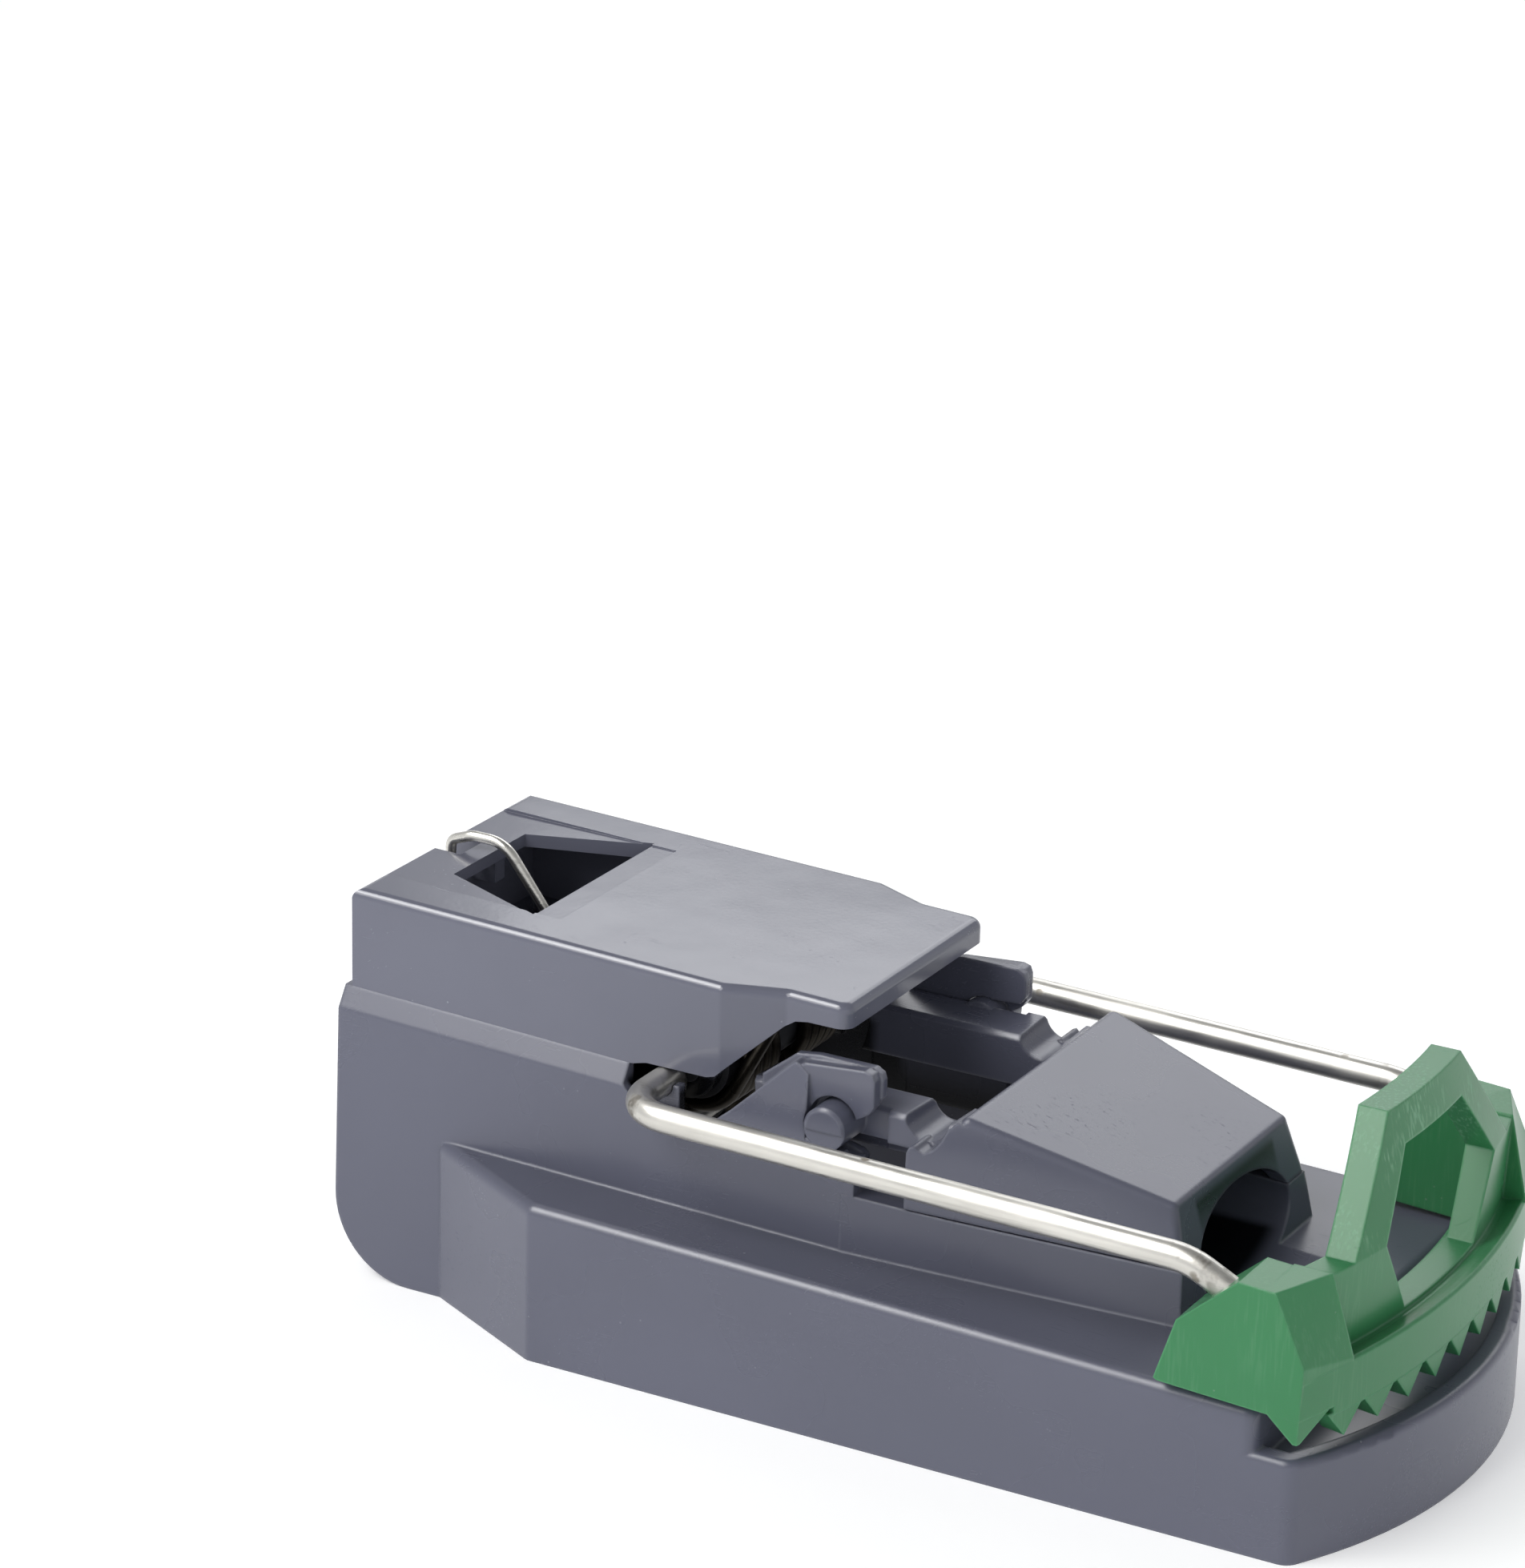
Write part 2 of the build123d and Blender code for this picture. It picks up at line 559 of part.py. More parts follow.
def make_spring_loop():
    """Middle loop of the torsion spring, which pushes on the crank."""
    lean = math.radians(LOOP_LEAN_DEG)
    toward = (math.sin(lean), -math.cos(lean))
    start_y = PIVOT_Y - COIL_RADIUS * math.cos(lean)
    start_z = PIVOT_Z - COIL_RADIUS * math.sin(lean)
    tip_y = start_y + LOOP_REACH * toward[0]
    tip_z = start_z + LOOP_REACH * toward[1]
    half = COIL_START_X - 2 * SPRING_WIRE_RADIUS - 0.05
    points = [(half, start_y, start_z), (half, tip_y, tip_z),
              (-half, tip_y, tip_z), (-half, start_y, start_z)]
    return wire_along(points, [1.0, 1.0], SPRING_WIRE_RADIUS)


# ================================================================ spring
def make_torsion_spring():
    """Two coils, each from beside the loop to a leg that presses up under the cover."""
    leg_angle = 180 + LEG_LEAN_DEG
    turns = COIL_TURNS + (LOOP_LEAN_DEG - LEG_LEAN_DEG) / 360
    path = Helix(COIL_PITCH, COIL_PITCH * turns, COIL_RADIUS, direction=(1, 0, 0), lefthand=True)
    end = path @ 1
    turn = leg_angle - math.degrees(math.atan2(end.Z, end.Y))
    path = Pos(COIL_START_X, PIVOT_Y, PIVOT_Z) * Rot(turn, 0, 0) * path
    start = Plane(origin=path @ 0, z_dir=path % 0)
    wound = sweep(start * Circle(SPRING_WIRE_RADIUS), path=path, is_frenet=True)
    foot = path @ 1
    lean = math.radians(LEG_LEAN_DEG)
    along = Vector(0, -math.sin(lean), math.cos(lean))
    leg = extrude(Plane(origin=foot, z_dir=along) * Circle(SPRING_WIRE_RADIUS), amount=SPRING_LEG)
    return both_sides(wound + leg)


def make_spring_spindle():
    """Stepped spindle through the coils, held by the base's webs."""
    core = rod_x(PIVOT_Y, PIVOT_Z, SPINDLE_RADIUS, -RIB_INNER_X + 0.1, RIB_INNER_X - 0.1)
    return core + rod_x(PIVOT_Y, PIVOT_Z, SPINDLE_PIN_RADIUS, -RIB_OUTER_X, RIB_OUTER_X)


# ================================================================ jaw
def turned(outline):
    """Ring about the jaw's own centre, from (radius, z) corners, cut to its front part."""
    plane = Plane(origin=(0, JAW_CENTRE_Y, 0), x_dir=(0, -1, 0), z_dir=(-1, 0, 0))
    section = plane * make_face(Polyline(*outline, close=True))
    ring = revolve(section, axis=Axis((0, JAW_CENTRE_Y, 0), (0, 0, 1)), revolution_arc=360)
    return ring & block(-JAW_HALF, JAW_HALF, -60, JAW_CENTRE_Y - 20, 0, 40)


def jaw_bar():
    """Curved bar with a shallow cove along its top."""
    inner, outer = JAW_INNER_RADIUS, JAW_OUTER_RADIUS
    return turned([
        (inner, JAW_ROOT_Z), (outer, JAW_ROOT_Z), (outer, JAW_WALL_Z - 0.25),
        (outer - 0.25, JAW_WALL_Z), (outer - 0.8, JAW_WALL_Z - 0.1), (outer - 1.6, JAW_LEDGE_Z),
        (outer - 2.6, JAW_LEDGE_Z), (outer - 3.4, JAW_WALL_Z), (inner + 0.25, JAW_WALL_Z + 0.1),
        (inner, JAW_WALL_Z - 0.1),
    ])


def jaw_block():
    """Solid end block around one arm of the striker."""
    half, inner, low_inner = JAW_HALF, JAW_BLOCK_INNER_X, JAW_BLOCK_INNER_X - 0.7
    crease_y, crease_z = -46.8, 18.5
    plate = side_prism([
        (-33.4, 14.5), (-33.6, 15.2), (-35.2, 20.2), (-40.6, 24.9), (-43.9, 24.7),
        (crease_y, crease_z), (-46.6, JAW_HEEL_Z), (JAW_HEEL_Y, JAW_HEEL_Z), (-33.7, 14.3),
    ], inner, half)
    back_y = -43.0
    foot_z = JAW_WALL_Z - 0.5
    foot = [(half, back_y, foot_z), (half, crease_y + 0.1, foot_z),
            (low_inner, -48.4, foot_z), (low_inner, back_y, foot_z)]
    crease = [(half, back_y, crease_z), (half, crease_y, crease_z),
              (low_inner, -48.5, JAW_WALL_Z), (low_inner, back_y, JAW_WALL_Z)]
    top = [(half, back_y, 24.7), (half, -43.9, 24.7), (inner, -46.5, 24.9), (inner, back_y, 24.9)]
    return plate + quad_loft(foot, crease) + quad_loft(crease, top)


def corner_tooth():
    """Pointed tooth under the front corner of one end block."""
    root_z, tip_z = JAW_HEEL_Z + 0.2, 11.6
    half, inner_x = JAW_HALF, CORNER_TOOTH_INNER_X
    tip = [(half - 0.1, -46.1, tip_z), (half - 0.1, -46.5, tip_z),
           (half - 0.5, -46.6, tip_z), (half - 0.5, -46.1, tip_z)]
    root = [(half, JAW_HEEL_Y, root_z), (half, -46.6, root_z),
            (inner_x, -47.8, root_z), (inner_x, -45.0, root_z)]
    return quad_loft(tip, root)


def jaw_tooth(angle):
    """V tooth under the outer edge of the bar, at an angle from straight ahead."""
    half = JAW_OUTER_RADIUS * math.tan(math.radians(TOOTH_STEP_DEG / 2)) * 0.98
    root_z = JAW_ROOT_Z + 0.2
    outline = [(-half, root_z), (half, root_z), (0, TOOTH_TIP_Z)]
    tooth = front_prism(outline, -JAW_OUTER_RADIUS + 0.1, -JAW_OUTER_RADIUS + TOOTH_DEPTH)
    return Pos(0, JAW_CENTRE_Y, 0) * Rot(0, 0, angle) * tooth


def loop_wall():
    """Leaning wall of the finger loop, a cone about the jaw's centre, standing on the bar."""
    foot_in, top_in = LOOP_FOOT_RADIUS - LOOP_THICK, LOOP_TOP_RADIUS - LOOP_THICK
    return turned([
        (foot_in, LOOP_BASE_Z), (LOOP_BASE_RADIUS, LOOP_BASE_Z), (LOOP_FOOT_RADIUS, LOOP_FOOT_Z),
        (LOOP_TOP_RADIUS, LOOP_TOP_Z), (top_in, LOOP_TOP_Z), (foot_in, LOOP_FOOT_Z),
    ])


def jaw_loop():
    """Finger loop: the leaning wall cut to its trapezoid frame and shoulders."""
    frame = front_prism([
        (-7.7, LOOP_TOP_Z), (7.7, LOOP_TOP_Z), (16.1, LOOP_FOOT_Z), (20.0, LOOP_FOOT_Z),
        (20.0, 16.0), (-20.0, 16.0), (-20.0, LOOP_FOOT_Z), (-16.1, LOOP_FOOT_Z),
    ], -60, -30)
    opening = front_prism([
        (-6.0, 31.6), (6.0, 31.6), (11.6, LOOP_FOOT_Z), (7.4, JAW_WALL_Z + 0.1),
        (-7.4, JAW_WALL_Z + 0.1), (-11.6, LOOP_FOOT_Z),
    ], -60, -30)
    return (loop_wall() & frame) - opening


def make_jaw():
    """Toothed bar, end blocks and finger loop, moulded in one piece."""
    bar = jaw_bar() - both_sides(block(CORNER_TOOTH_INNER_X, 30, -60, 0, 0, JAW_HEEL_Z))
    jaw = bar + jaw_loop() + both_sides(jaw_block()) + both_sides(corner_tooth())
    for index in range(-TOOTH_COUNT_EACH_SIDE, TOOTH_COUNT_EACH_SIDE + 1):
        jaw += jaw_tooth(index * TOOTH_STEP_DEG)
    jaw -= side_prism([
        (JAW_HEEL_Y, 0), (JAW_HEEL_Y, JAW_HEEL_Z), (-33.7, 14.3), (-30, 14.6), (-30, 0),
    ], -30, 30)
    socket = [
        (ARM_X, ARM_TIP_Y, ARM_TIP_Z), (ARM_X, ARM_KNEE_Y, ARM_KNEE_Z), (ARM_X, 0, 25.0),
    ]
    hole = wire_along(socket, [ARM_KNEE_RADIUS], WIRE_RADIUS + 0.01)
    return jaw - both_sides(hole)


# ================================================================ lock wire
def make_lock_wire():
    """Thin hinged wire: pin, arch over the cover's rear edge, and lower hook."""
    points = [
        (LOCK_PIN_X, LOCK_HINGE_Y, LOCK_HINGE_Z), (0.4, LOCK_HINGE_Y, LOCK_HINGE_Z),
        (0, 51.0, 35.2), (0, 50.9, 36.9), (0, 48.7, 37.7), (0, 45.2, 37.7),
        (0, 38.6, 29.3), (0, 39.6, 27.4), (0, 43.4, 27.9),
    ]
    radii = [0.55, 0.6, 0.9, 2.6, 3.4, 0.9, 0.9]
    return wire_along(points, radii, LOCK_RADIUS)


# ================================================================ bait cup
def make_bait_cup():
    """Twist-in cup that holds the bait under the tunnel."""
    cup = rod_z(0, CUP_Y, CUP_RADIUS, CUP_FLANGE_TOP_Z - 0.5, CUP_TOP_Z)
    cup += rod_z(0, CUP_Y, CUP_FLANGE_RADIUS, CUP_FLANGE_Z, CUP_FLANGE_TOP_Z)
    cup -= rod_z(0, CUP_Y, CUP_BORE_RADIUS, 4.0, CUP_TOP_Z + 1)
    pocket = rod_z(0, CUP_Y, CUP_GRIP_RADIUS, 0, CUP_FLANGE_TOP_Z - 0.7)
    bar = block(-10, 10, CUP_Y - CUP_GRIP_HALF, CUP_Y + CUP_GRIP_HALF, 0, 3)
    return cup - (pocket - bar)


def main():
    """Build every piece and write one STEP for each."""
    os.makedirs("parts", exist_ok=True)
    parts = {
        "base_shell": make_base(),
        "top_cover": make_cover(),
        "treadle": make_treadle(),
        "striker_wire": make_striker_wire(),
        "jaw": make_jaw(),
        "spring_loop": make_spring_loop(),
        "torsion_spring": make_torsion_spring(),
        "spring_spindle": make_spring_spindle(),
        "lock_wire": make_lock_wire(),
        "bait_cup": make_bait_cup(),
    }
    for name, solid in parts.items():
        export_step(solid, f"parts/{name}.step")


main()
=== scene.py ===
"""Looks, light and camera for the snap mouse trap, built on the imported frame."""
import math
import bpy
from mathutils import Matrix, Vector

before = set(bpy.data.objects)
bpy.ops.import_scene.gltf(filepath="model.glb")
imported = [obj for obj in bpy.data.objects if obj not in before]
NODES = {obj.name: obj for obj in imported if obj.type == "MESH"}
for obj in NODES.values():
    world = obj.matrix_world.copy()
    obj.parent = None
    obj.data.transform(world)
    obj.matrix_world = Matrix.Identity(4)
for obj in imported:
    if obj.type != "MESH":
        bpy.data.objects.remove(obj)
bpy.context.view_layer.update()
SCENE = bpy.context.scene

# Lengths are in metres, in the frame of the CAD, unless a name says otherwise.
CAMERA_PLACE = (-0.4071, -0.2074, 0.2181)
CAMERA_FORWARD = (0.8253, 0.4493, -0.3422)
CAMERA_LEVEL = (0.4782, -0.8783, 0)
CAMERA_ROLL_DEGREES = 1.47
CAMERA_SHIFT = (-0.0278, 0.0016)
LENS_MM = 132.6
SENSOR_WIDTH_MM = 36.0
CLIP_NEAR, CLIP_FAR = 0.05, 20.0

LIGHT_TARGET = (0, 0, 0.015)
SURROUND_COLOR = (0.97, 0.98, 1.0)
HORIZON_STRENGTH, OVERHEAD_STRENGTH = 0.92, 0.31
HORIZON_END, OVERHEAD_START = 0.10, 0.75        # heights on a sphere of radius 1
FLOOR_REACH = 6.0
FLOOR_COLOR = (0.88, 0.885, 0.89)
FLOOR_GLOW = 0.30

PLASTIC_IOR, GREEN_IOR = 1.5, 1.42
DUST_COLOR = (0.40, 0.41, 0.44)
SCUFF_COLOR = (0.40, 0.66, 0.48)                # on the jaw
RUB_COLOR = (0.07, 0.055, 0.04)                 # on the striker wire
# Painted shade: the near-black colour laid over the hollows of the base.
PAINTED_SHADE_COLOR = (0.006, 0.0065, 0.009)

# The edge mask goes from 1 to 0 between these cosines of how far the rounded normal turns.
EDGE_COSINE, FLAT_COSINE = 0.80, 0.995
BEVEL_SAMPLES = 4

# The jaw's finger loop begins between these heights.
LOOP_FROM, LOOP_FULL = 0.0245, 0.0265

# The striker wire has rubbed at two bends of each arm: Y, Z and radius of the marks.
STRIKER_ARM_X = 0.022
AXLE_BEND = (0.0195, 0.0254, 0.0045)
JAW_BEND = (-0.0355, 0.0242, 0.004)
RUB_CORE = 0.001

# Painted shade in the hollows of the base. Each limit is a pair that the painted shade fades
# between:
# half width, front end and rear end along Y, and top.
TUNNEL_PAINTED_SHADE = ((0.0074, 0.0082), (-0.0302, -0.0284), (-0.0080, -0.0075), (0.0222, 0.0232))
BAY_PAINTED_SHADE = ((0.0146, 0.0152), (-0.0080, -0.0075), (0.0460, 0.0480), (0.0165, 0.0205))
COVER_PAINTED_SHADE = ((0.0150, 0.0156), (0.0100, 0.0115), (0.0460, 0.0480), (0.0245, 0.0256))

# Sockets of the Mix node when it mixes colours.
MIX_SHARE, MIX_UNDER, MIX_OVER, MIX_RESULT = 0, 6, 7, 2


# ---------------------------------------------------------------- camera
def make_camera():
    """Long lens from the front left, a little above the trap."""
    data = bpy.data.cameras.new("camera")
    data.sensor_fit = "HORIZONTAL"
    data.sensor_width = SENSOR_WIDTH_MM
    data.lens = LENS_MM
    data.shift_x, data.shift_y = CAMERA_SHIFT
    data.clip_start = CLIP_NEAR
    data.clip_end = CLIP_FAR
    camera = bpy.data.objects.new("camera", data)
    SCENE.collection.objects.link(camera)
    forward = Vector(CAMERA_FORWARD).normalized()
    level = Vector(CAMERA_LEVEL).normalized()
    rise = level.cross(forward)
    roll = math.radians(CAMERA_ROLL_DEGREES)
    right = level * math.cos(roll) + rise * math.sin(roll)
    up = rise * math.cos(roll) - level * math.sin(roll)
    turn = Matrix((right, up, -forward)).transposed().to_4x4()
    camera.matrix_world = Matrix.Translation(CAMERA_PLACE) @ turn
    SCENE.camera = camera


# ---------------------------------------------------------------- light and floor
def area_light(name, place, size, power, tint=(1, 1, 1)):
    """Rectangular soft light at a place, aimed at the trap."""
    data = bpy.data.lights.new(name, "AREA")
    data.shape = "RECTANGLE"
    data.size, data.size_y = size
    data.energy = power
    data.color = tint
    light = bpy.data.objects.new(name, data)
    light.location = place
    aim = Vector(LIGHT_TARGET) - Vector(place)
    light.rotation_euler = aim.to_track_quat("-Z", "Y").to_euler()
    SCENE.collection.objects.link(light)
    return light


def make_surround():
    """White surround that is brightest at the horizon and dimmer overhead."""
    world = bpy.data.worlds.new("surround")
    world.use_nodes = True
    tree = world.node_tree
    split = tree.nodes.new("ShaderNodeSeparateXYZ")
    tree.links.new(tree.nodes.new("ShaderNodeTexCoord").outputs["Generated"], split.inputs[0])
    fade = tree.nodes.new("ShaderNodeMapRange")
    fade.interpolation_type = "SMOOTHSTEP"
    fade.inputs["From Min"].default_value = HORIZON_END
    fade.inputs["From Max"].default_value = OVERHEAD_START
    fade.inputs["To Min"].default_value = HORIZON_STRENGTH
    fade.inputs["To Max"].default_value = OVERHEAD_STRENGTH
    tree.links.new(split.outputs["Z"], fade.inputs["Value"])
    background = tree.nodes["Background"]
    background.inputs["Color"].default_value = (*SURROUND_COLOR, 1)
    tree.links.new(fade.outputs["Result"], background.inputs["Strength"])
    SCENE.world = world


def make_floor():
    """Pale seamless floor that reaches past the view."""
    mesh = bpy.data.meshes.new("floor")
    corners = [(x * FLOOR_REACH, y * FLOOR_REACH, 0)
               for x, y in ((-1, -1), (1, -1), (1, 1), (-1, 1))]
    mesh.from_pydata(corners, [], [(0, 1, 2, 3)])
    floor = bpy.data.objects.new("floor", mesh)
    SCENE.collection.objects.link(floor)
    look = Look("floor_paper", FLOOR_COLOR, roughness=0.9)
    look.tint_by_noise(scale=9.0, amount=0.02)
    look.shader.inputs["Emission Color"].default_value = (1, 1, 1, 1)
    look.shader.inputs["Emission Strength"].default_value = FLOOR_GLOW
    floor.data.materials.append(look.done())


def make_studio():
    """Pale floor, white surround, three soft lights and one that shows only in gloss."""
    SCENE.view_settings.view_transform = "Standard"
    make_surround()
    make_floor()
    area_light("key", (-0.45, 0.25, 0.55), size=(0.5, 0.4), power=3.4, tint=(1.0, 0.99, 0.97))
    area_light("front", (-0.55, -0.75, 0.40), size=(0.6, 0.4), power=0.35)
    area_light("rim", (0.60, 0.15, 0.45), size=(0.5, 0.3), power=1.2, tint=(0.97, 0.98, 1.0))
    glint = area_light("glint", (-0.20, 0.28, 0.52), size=(0.30, 0.24), power=2.2)
    glint.visible_diffuse = False


# ---------------------------------------------------------------- material builder
class Look:
    """A Principled material that gathers colour, roughness and bump layers."""

    def __init__(self, name, color, roughness, metallic=0.0):
        self.material = bpy.data.materials.new(name)
        self.material.use_nodes = True
        self.tree = self.material.node_tree
        self.shader = self.tree.nodes["Principled BSDF"]
        self.shader.inputs["Metallic"].default_value = metallic
        self.place = self.node("ShaderNodeTexCoord").outputs["Object"]
        self.color = self.rgb(color)
        self.roughness = roughness
        self.normal = None

    def node(self, kind, **settings):
        made = self.tree.nodes.new(kind)
        for key, value in settings.items():
            setattr(made, key, value)
        return made

    def link(self, source, socket):
        self.tree.links.new(source, socket)

    def feed(self, value, socket):
        """Sets a socket to a number, or links another node's output to it."""
        if isinstance(value, (int, float)):
            socket.default_value = value
        else:
            self.link(value, socket)

    def rgb(self, color):
        made = self.node("ShaderNodeRGB")
        made.outputs[0].default_value = (*color, 1)
        return made.outputs[0]

    def math(self, operation, *values):
        made = self.node("ShaderNodeMath", operation=operation)
        for value, socket in zip(values, made.inputs):
            self.feed(value, socket)
        return made.outputs[0]

    def product(self, first, *others):
        """Values multiplied together, from the first to the last."""
        result = first
        for value in others:
            result = self.math("MULTIPLY", result, value)
        return result

    def stretch(self, scale, turn=(0, 0, 0)):
        """Object coordinates, turned first and then scaled."""
        turned = self.node("ShaderNodeMapping")
        turned.inputs["Rotation"].default_value = turn
        self.link(self.place, turned.inputs["Vector"])
        made = self.node("ShaderNodeMapping")
        made.inputs["Scale"].default_value = scale
        self.link(turned.outputs["Vector"], made.inputs["Vector"])
        return made.outputs["Vector"]

    def axes(self):
        """Object X (unsigned), Y and Z."""
        split = self.node("ShaderNodeSeparateXYZ")
        self.link(self.place, split.inputs[0])
        return self.math("ABSOLUTE", split.outputs["X"]), split.outputs["Y"], split.outputs["Z"]

    def noise(self, scale, detail, roughness=0.5, vector=None):
        """Noise over the object's coordinates, or over a stretched vector."""
        made = self.node("ShaderNodeTexNoise")
        made.inputs["Scale"].default_value = scale
        made.inputs["Detail"].default_value = detail
        made.inputs["Roughness"].default_value = roughness
        self.link(vector or self.place, made.inputs["Vector"])
        return made.outputs["Fac"]

    def ramp(self, value, low, high, from_value=0.0, to_value=1.0):
        """Goes smoothly from one value to the other as the input goes from low to high."""
        made = self.node("ShaderNodeMapRange", interpolation_type="SMOOTHSTEP")
        made.inputs["From Min"].default_value = low
        made.inputs["From Max"].default_value = high
        made.inputs["To Min"].default_value = from_value
        made.inputs["To Max"].default_value = to_value
        self.link(value, made.inputs["Value"])
        return made.outputs["Result"]

    def fade_out(self, value, low, high):
        """1 below low and 0 above high."""
        return self.ramp(value, low, high, 1.0, 0.0)

    def cells(self, scale, low, high):
        """1 near each cell's point, 0 away from it."""
        made = self.node("ShaderNodeTexVoronoi")
        made.inputs["Scale"].default_value = scale
        self.link(self.place, made.inputs["Vector"])
        return self.fade_out(made.outputs["Distance"], low, high)

    def mix_color(self, share, color, amount=None):
        """Lays another colour over the one so far, by share, times amount if it is given."""
        made = self.node("ShaderNodeMix", data_type="RGBA")
        self.link(self.product(share, amount) if amount else share, made.inputs[MIX_SHARE])
        self.link(self.color, made.inputs[MIX_UNDER])
        made.inputs[MIX_OVER].default_value = (*color, 1)
        self.color = made.outputs[MIX_RESULT]

    def tint_by_noise(self, scale, amount):
        """Uneven lightness, up and down by amount."""
        shade = self.ramp(self.noise(scale, detail=3.0), low=0.3, high=0.7,
                          from_value=1 - amount, to_value=1 + amount)
        made = self.node("ShaderNodeHueSaturation")
        self.link(self.color, made.inputs["Color"])
        self.link(shade, made.inputs["Value"])
        self.color = made.outputs["Color"]

    def rougher(self, share, amount):
        """Adds share times amount to the roughness."""
        self.roughness = self.math("ADD", self.roughness, self.product(share, amount))

    def soften_edges(self, radius):
        """Rounds the shading across hard edges, and gives a mask of them."""
        rounded = self.node("ShaderNodeBevel", samples=BEVEL_SAMPLES)
        rounded.inputs["Radius"].default_value = radius
        self.normal = rounded.outputs["Normal"]
        cosine = self.node("ShaderNodeVectorMath", operation="DOT_PRODUCT")
        self.link(self.normal, cosine.inputs[0])
        self.link(self.node("ShaderNodeNewGeometry").outputs["Normal"], cosine.inputs[1])
        return self.fade_out(cosine.outputs["Value"], EDGE_COSINE, FLAT_COSINE)

    def bump(self, height, distance, strength):
        """Adds fine relief on top of the normal so far."""
        made = self.node("ShaderNodeBump")
        made.inputs["Distance"].default_value = distance
        made.inputs["Strength"].default_value = strength
        self.link(height, made.inputs["Height"])
        if self.normal is not None:
            self.link(self.normal, made.inputs["Normal"])
        self.normal = made.outputs["Normal"]

    def scratches(self, turn, length_scale, width_scale, low, high):
        """Fine straight scratches, mostly lengthwise, in patches."""
        stretched = self.stretch((width_scale, length_scale, width_scale), turn)
        lines = self.noise(scale=1.0, detail=1.0, vector=stretched)
        patch = self.ramp(self.noise(scale=70.0, detail=1.0), low=0.45, high=0.75)
        return self.product(self.ramp(lines, low, high), patch)

    def paint_shade_inside(self, half_width, front, rear, top):
        """Paints shade into a hollow. Each limit is a pair that the painted shade fades
        between.
        """
        across, along, up = self.axes()
        mask = self.product(
            self.fade_out(across, *half_width), self.ramp(along, *front),
            self.fade_out(along, *rear), self.fade_out(up, *top))
        self.mix_color(mask, PAINTED_SHADE_COLOR)

    def done(self):
        """Connects the layers to the shader and gives the material."""
        self.link(self.color, self.shader.inputs["Base Color"])
        self.feed(self.roughness, self.shader.inputs["Roughness"])
        if self.normal is not None:
            self.link(self.normal, self.shader.inputs["Normal"])
        return self.material


# ---------------------------------------------------------------- plastics
def moulded_plastic(name, color, roughness, edge_highlight_color, edge_radius, waviness):
    """Injection-moulded plastic: soft edges with painted highlights, faint mottle, dust and
    handling marks.
    """
    look = Look(name, color, roughness)
    look.shader.inputs["IOR"].default_value = PLASTIC_IOR
    look.tint_by_noise(scale=38.0, amount=0.045)
    edges = look.soften_edges(edge_radius)
    # Painted highlight: a lighter colour laid along the rounded edges, broken into patches by
    # noise.
    highlight_breakup = look.ramp(look.noise(scale=160.0, detail=4.0), low=0.25, high=0.75, from_value=0.45)
    look.mix_color(look.product(edges, highlight_breakup), edge_highlight_color, amount=0.55)
    dusty = look.ramp(look.noise(scale=240.0, detail=1.0), low=0.60, high=0.66)
    specks = look.product(look.cells(scale=900.0, low=0.05, high=0.11), dusty)
    look.mix_color(specks, DUST_COLOR, amount=0.22)
    long_marks = look.scratches(
        turn=(0.05, 0.0, 0.12), length_scale=90.0, width_scale=3600.0, low=0.64, high=0.76)
    slant_marks = look.scratches(
        turn=(0.5, 0.3, -0.5), length_scale=140.0, width_scale=4300.0, low=0.66, high=0.78)
    look.rougher(look.noise(scale=55.0, detail=3.0), amount=0.07)
    look.rougher(long_marks, amount=0.18)
    look.rougher(slant_marks, amount=0.18)
    look.rougher(specks, amount=0.4)
    look.bump(look.noise(scale=85.0, detail=2.0), distance=0.001, strength=waviness)
    look.bump(look.noise(scale=2600.0, detail=1.0), distance=0.000010, strength=0.35)
    look.bump(look.math("ADD", long_marks, slant_marks), distance=0.000006, strength=0.35)
    return look


def grey_plastic():
    """Satin blue-grey plastic of the base and treadle, with painted shade in the hollows."""
    look = moulded_plastic(
        "grey_plastic_satin", (0.098, 0.103, 0.142), roughness=0.24,
        edge_highlight_color=(0.32, 0.33, 0.39), edge_radius=0.00042, waviness=0.010)
    for limits in (TUNNEL_PAINTED_SHADE, BAY_PAINTED_SHADE, COVER_PAINTED_SHADE):
        look.paint_shade_inside(*limits)
    return look.done()


def gloss_plastic():
    """Glossy blue-grey plastic of the cover, slightly wavy."""
    return moulded_plastic(
        "grey_plastic_gloss", (0.126, 0.131, 0.172), roughness=0.12,
        edge_highlight_color=(0.28, 0.29, 0.35), edge_radius=0.00005, waviness=0.060).done()


def dark_plastic():
    """Near-black plastic of the hidden pieces."""
    return moulded_plastic(
        "dark_plastic", (0.035, 0.036, 0.042), roughness=0.42,
        edge_highlight_color=(0.09, 0.09, 0.10), edge_radius=0.00016, waviness=0.01).done()


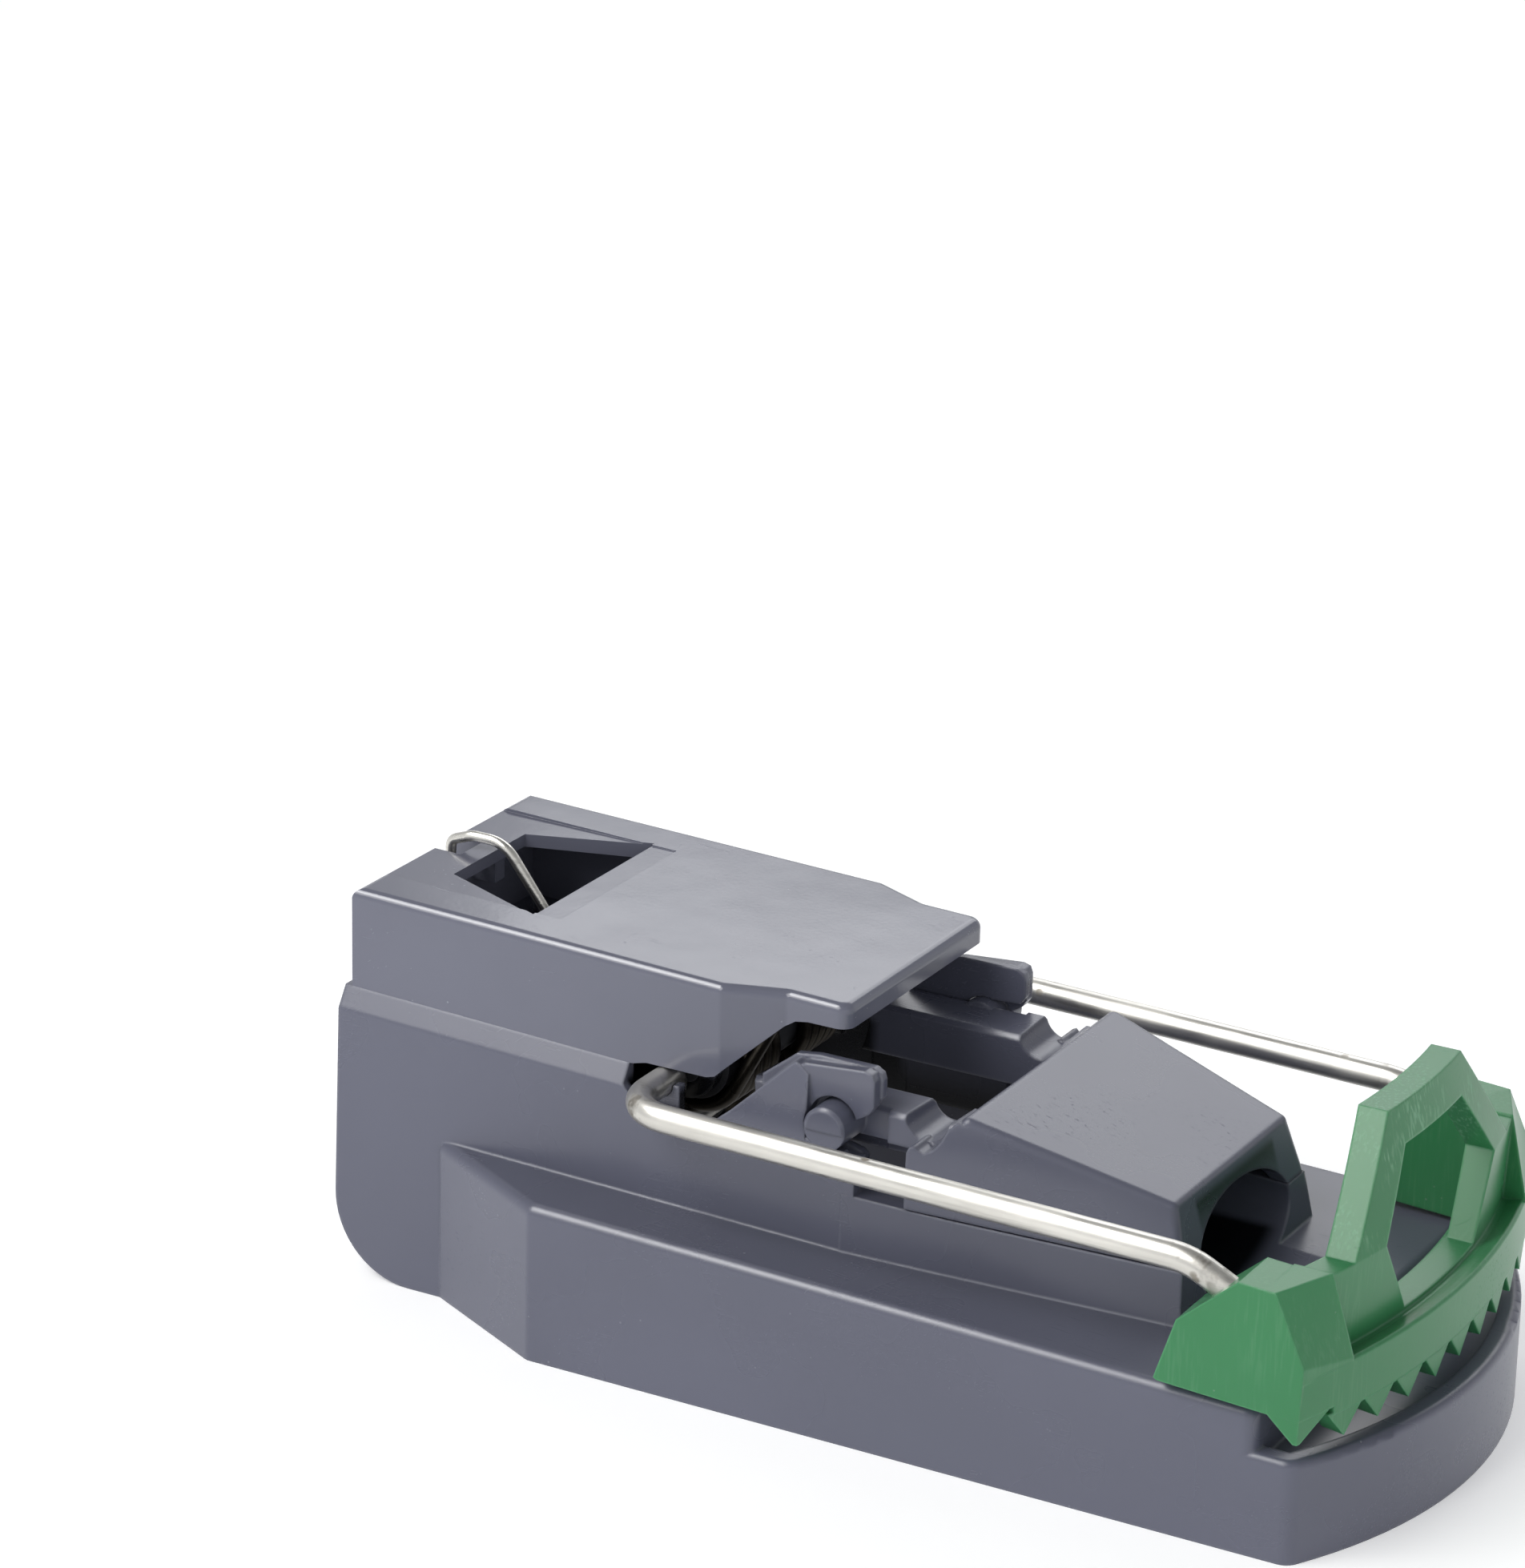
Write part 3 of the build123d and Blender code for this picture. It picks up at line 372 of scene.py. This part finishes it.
def green_plastic():
    """Semi-gloss green plastic with a little light inside it, scuffed on the finger loop."""
    look = moulded_plastic(
        "jaw_green", (0.036, 0.195, 0.076), roughness=0.27,
        edge_highlight_color=(0.17, 0.45, 0.25), edge_radius=0.0003, waviness=0.012)
    look.shader.inputs["IOR"].default_value = GREEN_IOR
    look.shader.inputs["Subsurface Weight"].default_value = 0.18
    look.shader.inputs["Subsurface Radius"].default_value = (0.2, 0.9, 0.35)
    look.shader.inputs["Subsurface Scale"].default_value = 0.0016
    grain = look.noise(scale=1.0, detail=2.0, vector=look.stretch((3000.0, 3000.0, 260.0)))
    lines = look.ramp(grain, low=0.48, high=0.70)
    patch = look.ramp(look.noise(scale=150.0, detail=2.0), low=0.42, high=0.60)
    _, _, up = look.axes()
    on_loop = look.ramp(up, LOOP_FROM, LOOP_FULL, from_value=0.15)
    scuffed = look.product(lines, patch, on_loop)
    look.mix_color(scuffed, SCUFF_COLOR, amount=0.30)
    look.rougher(scuffed, amount=0.2)
    return look.done()


# ---------------------------------------------------------------- steel
def drawn_wire(name, color, roughness, stain, streak):
    """Drawn steel wire: die lines along one axis, dull patches and small dark spots."""
    look = Look(name, color, roughness, metallic=1.0)
    fine_streak = tuple(4 * value for value in streak)
    line_color = tuple(0.45 * value for value in color)
    lines = look.noise(scale=1.0, detail=3.0, roughness=0.6, vector=look.stretch(streak))
    fine = look.noise(scale=1.0, detail=2.0, vector=look.stretch(fine_streak))
    look.tint_by_noise(scale=70.0, amount=0.10)
    look.mix_color(look.ramp(lines, low=0.52, high=0.75, to_value=0.55), line_color)
    stained = look.ramp(look.noise(scale=95.0, detail=3.0), low=0.55, high=0.68)
    spots = look.product(look.cells(scale=430.0, low=0.10, high=0.22), stained)
    look.mix_color(spots, stain, amount=0.7)
    dull = look.ramp(look.noise(scale=130.0, detail=4.0), low=0.35, high=0.7)
    look.rougher(dull, amount=0.16)
    look.rougher(spots, amount=0.25)
    look.bump(lines, distance=0.00004, strength=0.55)
    look.bump(fine, distance=0.00001, strength=0.5)
    return look


def striker_steel():
    """The thick bright wire, with dark marks where it bends at the axle and at the jaw."""
    look = drawn_wire(
        "striker_steel", (0.66, 0.645, 0.60), roughness=0.31,
        stain=(0.13, 0.10, 0.07), streak=(900.0, 45.0, 900.0))
    for x in (-STRIKER_ARM_X, STRIKER_ARM_X):
        for y, z, radius in (AXLE_BEND, JAW_BEND):
            away = look.node("ShaderNodeVectorMath", operation="DISTANCE")
            look.link(look.place, away.inputs[0])
            away.inputs[1].default_value = (x, y, z)
            near = look.fade_out(away.outputs["Value"], RUB_CORE, radius)
            broken = look.ramp(look.noise(scale=520.0, detail=3.0), low=0.48, high=0.62)
            rubbed = look.product(near, broken)
            look.mix_color(rubbed, RUB_COLOR, amount=0.75)
            look.rougher(rubbed, amount=0.2)
    return look.done()


def lock_steel():
    """The thin bright wire over the cover's rear edge."""
    return drawn_wire(
        "lock_steel", (0.68, 0.665, 0.62), roughness=0.20,
        stain=(0.16, 0.13, 0.09), streak=(1500.0, 90.0, 1500.0)).done()


def spring_steel():
    """The dark spring wire."""
    return drawn_wire(
        "spring_steel", (0.065, 0.058, 0.048), roughness=0.32,
        stain=(0.03, 0.02, 0.012), streak=(60.0, 1500.0, 1500.0)).done()


# ---------------------------------------------------------------- the scene
def dress(material, *names):
    """Gives CAD nodes their finish."""
    for name in names:
        NODES[name].data.materials.clear()
        NODES[name].data.materials.append(material)


def make_materials():
    """Finishes every CAD node."""
    dress(grey_plastic(), "base_shell", "treadle")
    dress(gloss_plastic(), "top_cover")
    dress(dark_plastic(), "spring_spindle", "bait_cup")
    dress(striker_steel(), "striker_wire")
    dress(lock_steel(), "lock_wire")
    dress(spring_steel(), "torsion_spring", "spring_loop")
    dress(green_plastic(), "jaw")


make_camera()
make_studio()
make_materials()
